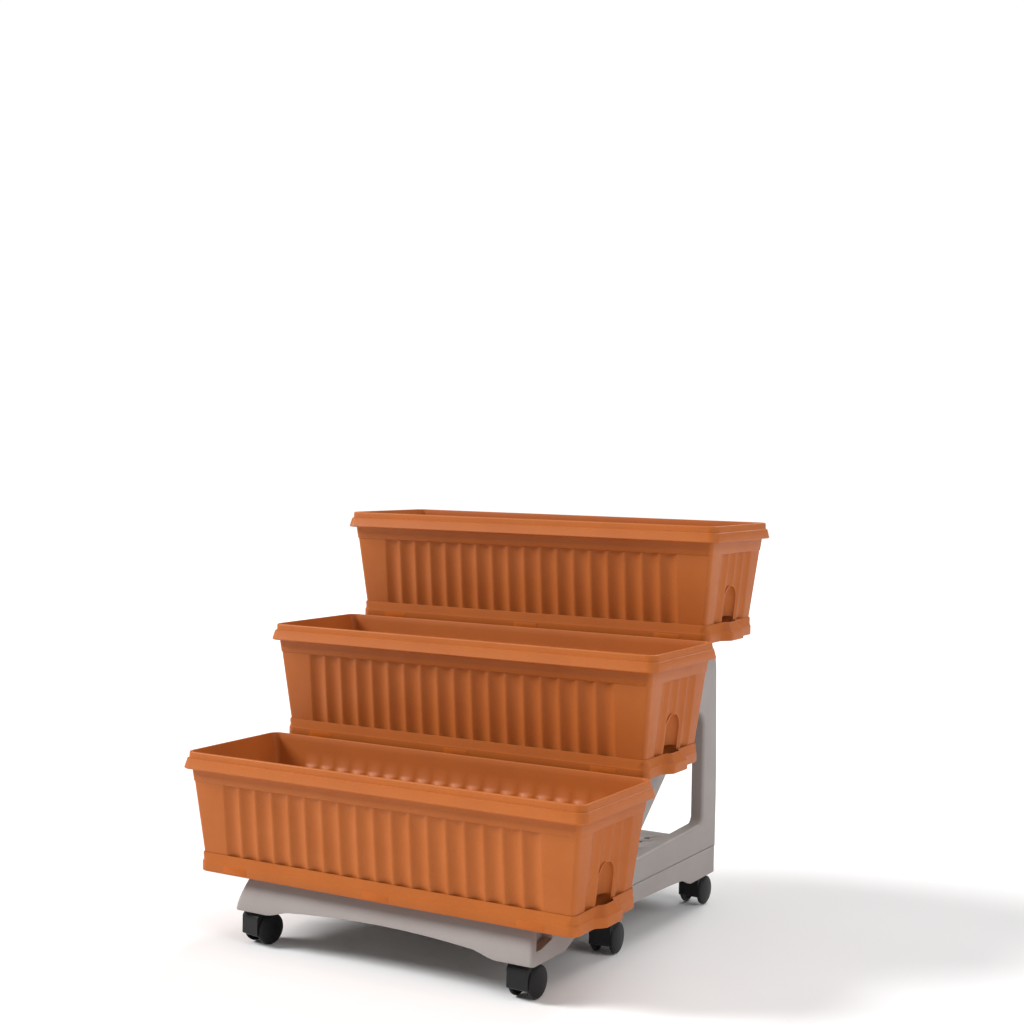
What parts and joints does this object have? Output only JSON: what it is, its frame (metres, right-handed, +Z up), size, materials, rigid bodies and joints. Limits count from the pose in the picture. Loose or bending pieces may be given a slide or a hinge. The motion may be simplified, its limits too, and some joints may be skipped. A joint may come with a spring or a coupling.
{
  "type": "stepped planter stand with troughs",
  "caption": "Stepped moulded stand on twin wheel casters that carries long fluted planter troughs, each clipped into its own water saucer.",
  "frame": {"origin": "on the floor, under the middle of the overall width and depth", "axes": "+X along the troughs, -Y towards the front and the lowest trough, +Z up"},
  "size_m": [0.8076, 0.7684, 0.751],
  "materials": {
    "trough": "satin moulded terracotta polypropylene",
    "saucer": "satin moulded terracotta polypropylene",
    "stand": "fine grained warm grey moulded plastic",
    "caster_hood": "fine grained black nylon",
    "caster_wheel": "satin black nylon",
    "caster_steel": "zinc plated",
    "screw": "zinc plated"
  },
  "bodies": {
    "stand": {"base_tray": "stand", "side_panel_left": "stand", "side_panel_right": "stand", "middle_shelf": "stand", "top_shelf": "stand", "base_screw_left_front": "screw", "base_screw_left_rear": "screw", "base_screw_right_front": "screw", "base_screw_right_rear": "screw", "middle_shelf_screw_left_front": "screw", "middle_shelf_screw_left_rear": "screw", "middle_shelf_screw_right_front": "screw", "middle_shelf_screw_right_rear": "screw", "top_shelf_screw_left_front": "screw", "top_shelf_screw_left_rear": "screw", "top_shelf_screw_right_front": "screw", "top_shelf_screw_right_rear": "screw", "caster_front_right_stem": "caster_steel", "caster_front_left_stem": "caster_steel", "caster_middle_right_stem": "caster_steel", "caster_middle_left_stem": "caster_steel", "caster_rear_right_stem": "caster_steel", "caster_rear_left_stem": "caster_steel"},
    "caster_front_right_fork": {"caster_front_right_hood": "caster_hood", "caster_front_right_axle": "caster_steel"},
    "caster_front_right_wheel_a": {"caster_front_right_wheel_a": "caster_wheel"},
    "caster_front_right_wheel_b": {"caster_front_right_wheel_b": "caster_wheel"},
    "caster_front_left_fork": {"caster_front_left_hood": "caster_hood", "caster_front_left_axle": "caster_steel"},
    "caster_front_left_wheel_a": {"caster_front_left_wheel_a": "caster_wheel"},
    "caster_front_left_wheel_b": {"caster_front_left_wheel_b": "caster_wheel"},
    "caster_middle_right_fork": {"caster_middle_right_hood": "caster_hood", "caster_middle_right_axle": "caster_steel"},
    "caster_middle_right_wheel_a": {"caster_middle_right_wheel_a": "caster_wheel"},
    "caster_middle_right_wheel_b": {"caster_middle_right_wheel_b": "caster_wheel"},
    "caster_middle_left_fork": {"caster_middle_left_hood": "caster_hood", "caster_middle_left_axle": "caster_steel"},
    "caster_middle_left_wheel_a": {"caster_middle_left_wheel_a": "caster_wheel"},
    "caster_middle_left_wheel_b": {"caster_middle_left_wheel_b": "caster_wheel"},
    "caster_rear_right_fork": {"caster_rear_right_hood": "caster_hood", "caster_rear_right_axle": "caster_steel"},
    "caster_rear_right_wheel_a": {"caster_rear_right_wheel_a": "caster_wheel"},
    "caster_rear_right_wheel_b": {"caster_rear_right_wheel_b": "caster_wheel"},
    "caster_rear_left_fork": {"caster_rear_left_hood": "caster_hood", "caster_rear_left_axle": "caster_steel"},
    "caster_rear_left_wheel_a": {"caster_rear_left_wheel_a": "caster_wheel"},
    "caster_rear_left_wheel_b": {"caster_rear_left_wheel_b": "caster_wheel"},
    "saucer_lower": {"saucer_lower": "saucer"},
    "trough_lower": {"trough_lower": "trough"},
    "saucer_middle": {"saucer_middle": "saucer"},
    "trough_middle": {"trough_middle": "trough"},
    "saucer_upper": {"saucer_upper": "saucer"},
    "trough_upper": {"trough_upper": "trough"}
  },
  "joints": [
    {"name": "caster_front_right_swivel", "type": "hinge", "parent": "stand", "child": "caster_front_right_fork", "pos_m": [0.27, -0.327, 0.05], "axis": [0, 0, 1], "continuous": true},
    {"name": "caster_front_right_wheel_a_spin", "type": "hinge", "parent": "caster_front_right_fork", "child": "caster_front_right_wheel_a", "pos_m": [0.27063, -0.31502, 0.0285], "axis": [0.9986, -0.0523, 0], "continuous": true},
    {"name": "caster_front_right_wheel_b_spin", "type": "hinge", "parent": "caster_front_right_fork", "child": "caster_front_right_wheel_b", "pos_m": [0.27063, -0.31502, 0.0285], "axis": [0.9986, -0.0523, 0], "continuous": true},
    {"name": "caster_front_left_swivel", "type": "hinge", "parent": "stand", "child": "caster_front_left_fork", "pos_m": [-0.27, -0.327, 0.05], "axis": [0, 0, 1], "continuous": true},
    {"name": "caster_front_left_wheel_a_spin", "type": "hinge", "parent": "caster_front_left_fork", "child": "caster_front_left_wheel_a", "pos_m": [-0.2675, -0.31526, 0.0285], "axis": [0.9781, -0.2079, 0], "continuous": true},
    {"name": "caster_front_left_wheel_b_spin", "type": "hinge", "parent": "caster_front_left_fork", "child": "caster_front_left_wheel_b", "pos_m": [-0.2675, -0.31526, 0.0285], "axis": [0.9781, -0.2079, 0], "continuous": true},
    {"name": "caster_middle_right_swivel", "type": "hinge", "parent": "stand", "child": "caster_middle_right_fork", "pos_m": [0.27, -0.042, 0.05], "axis": [0, 0, 1], "continuous": true},
    {"name": "caster_middle_right_wheel_a_spin", "type": "hinge", "parent": "caster_middle_right_fork", "child": "caster_middle_right_wheel_a", "pos_m": [0.26958, -0.03001, 0.0285], "axis": [0.9994, 0.0349, 0], "continuous": true},
    {"name": "caster_middle_right_wheel_b_spin", "type": "hinge", "parent": "caster_middle_right_fork", "child": "caster_middle_right_wheel_b", "pos_m": [0.26958, -0.03001, 0.0285], "axis": [0.9994, 0.0349, 0], "continuous": true},
    {"name": "caster_middle_left_swivel", "type": "hinge", "parent": "stand", "child": "caster_middle_left_fork", "pos_m": [-0.27, -0.042, 0.05], "axis": [0, 0, 1], "continuous": true},
    {"name": "caster_middle_left_wheel_a_spin", "type": "hinge", "parent": "caster_middle_left_fork", "child": "caster_middle_left_wheel_a", "pos_m": [-0.27105, -0.03005, 0.0285], "axis": [0.9962, 0.0872, 0], "continuous": true},
    {"name": "caster_middle_left_wheel_b_spin", "type": "hinge", "parent": "caster_middle_left_fork", "child": "caster_middle_left_wheel_b", "pos_m": [-0.27105, -0.03005, 0.0285], "axis": [0.9962, 0.0872, 0], "continuous": true},
    {"name": "caster_rear_right_swivel", "type": "hinge", "parent": "stand", "child": "caster_rear_right_fork", "pos_m": [0.27, 0.341, 0.05], "axis": [0, 0, 1], "continuous": true},
    {"name": "caster_rear_right_wheel_a_spin", "type": "hinge", "parent": "caster_rear_right_fork", "child": "caster_rear_right_wheel_a", "pos_m": [0.27063, 0.35298, 0.0285], "axis": [0.9986, -0.0523, 0], "continuous": true},
    {"name": "caster_rear_right_wheel_b_spin", "type": "hinge", "parent": "caster_rear_right_fork", "child": "caster_rear_right_wheel_b", "pos_m": [0.27063, 0.35298, 0.0285], "axis": [0.9986, -0.0523, 0], "continuous": true},
    {"name": "caster_rear_left_swivel", "type": "hinge", "parent": "stand", "child": "caster_rear_left_fork", "pos_m": [-0.27, 0.341, 0.05], "axis": [0, 0, 1], "continuous": true},
    {"name": "caster_rear_left_wheel_a_spin", "type": "hinge", "parent": "caster_rear_left_fork", "child": "caster_rear_left_wheel_a", "pos_m": [-0.27084, 0.35297, 0.0285], "axis": [0.9976, 0.0698, 0], "continuous": true},
    {"name": "caster_rear_left_wheel_b_spin", "type": "hinge", "parent": "caster_rear_left_fork", "child": "caster_rear_left_wheel_b", "pos_m": [-0.27084, 0.35297, 0.0285], "axis": [0.9976, 0.0698, 0], "continuous": true},
    {"name": "saucer_lower_lift", "type": "slide", "parent": "stand", "child": "saucer_lower", "axis": [0, -0.342, 0.9397], "range_m": [0, 0.12]},
    {"name": "trough_lower_unclip", "type": "slide", "parent": "saucer_lower", "child": "trough_lower", "axis": [0, -0.0872, 0.9962], "range_m": [0, 0.045]},
    {"name": "saucer_middle_lift", "type": "slide", "parent": "stand", "child": "saucer_middle", "axis": [0, -0.342, 0.9397], "range_m": [0, 0.12]},
    {"name": "trough_middle_unclip", "type": "slide", "parent": "saucer_middle", "child": "trough_middle", "axis": [0, -0.0872, 0.9962], "range_m": [0, 0.045]},
    {"name": "saucer_upper_lift", "type": "slide", "parent": "stand", "child": "saucer_upper", "axis": [0, -0.342, 0.9397], "range_m": [0, 0.12]},
    {"name": "trough_upper_unclip", "type": "slide", "parent": "saucer_upper", "child": "trough_upper", "axis": [0, -0.0872, 0.9962], "range_m": [0, 0.045]}
  ]
}
